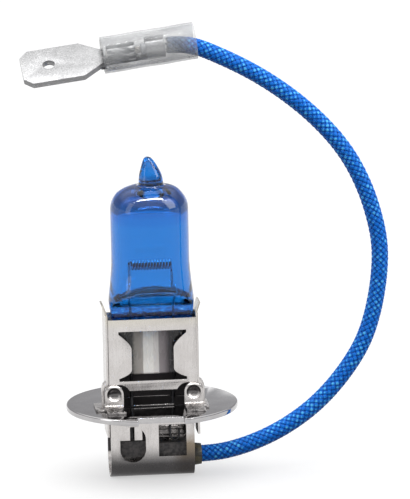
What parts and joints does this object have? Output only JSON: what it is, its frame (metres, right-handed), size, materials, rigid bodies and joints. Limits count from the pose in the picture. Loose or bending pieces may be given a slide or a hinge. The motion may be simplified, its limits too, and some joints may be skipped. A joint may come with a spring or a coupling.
{
  "type": "halogen headlight bulb",
  "caption": "Halogen headlight bulb: blue quartz envelope in a sheet metal clamp on a round notched flange, with a braided lead to a male spade terminal.",
  "frame": {"origin": "centre of the flange's upper face, on the lamp axis, where the reflector's seat holds the lamp", "axes": "+Z along the lamp axis towards the tip of the glass, +X towards the side that the lead leaves, -Y towards the flange's notch"},
  "size_m": [0.0466, 0.0217, 0.0588],
  "materials": {
    "blue_quartz": "clear blue coated quartz",
    "tungsten": "drawn wire, dull",
    "molybdenum": "dark drawn wire and foil",
    "nickel_plate": "bright nickel plated sheet with fine grain",
    "flange_steel": "satin stainless sheet",
    "dark_ceramic": "dark, rough",
    "olive_sleeving": "matt varnished sleeving",
    "blue_braid": "woven braid in two blues",
    "inner_insulation": "pale, smooth",
    "tinned_copper": "twisted tinned strands",
    "tinned_brass": "satin tin plate",
    "clear_vinyl": "milky clear tube"
  },
  "bodies": {
    "root": {"glass_envelope": "blue_quartz", "filament_coil": "tungsten", "filament_leg_left": "tungsten", "filament_leg_right": "tungsten", "seal_foil_left": "molybdenum", "seal_foil_right": "molybdenum", "outer_lead_ground": "molybdenum", "outer_lead_live": "molybdenum", "clamp_channel": "nickel_plate", "clamp_front_plate": "nickel_plate", "reference_flange": "flange_steel", "base_strip": "nickel_plate", "ground_tab": "nickel_plate", "splice_clip": "nickel_plate", "insulator_block": "dark_ceramic", "exit_bushing": "olive_sleeving", "lead_strands_base": "tinned_copper", "braided_lead": "blue_braid", "lead_inner_insulation": "inner_insulation", "lead_strands_terminal": "tinned_copper", "spade_terminal": "tinned_brass", "terminal_sleeve": "clear_vinyl"}
  },
  "joints": []
}
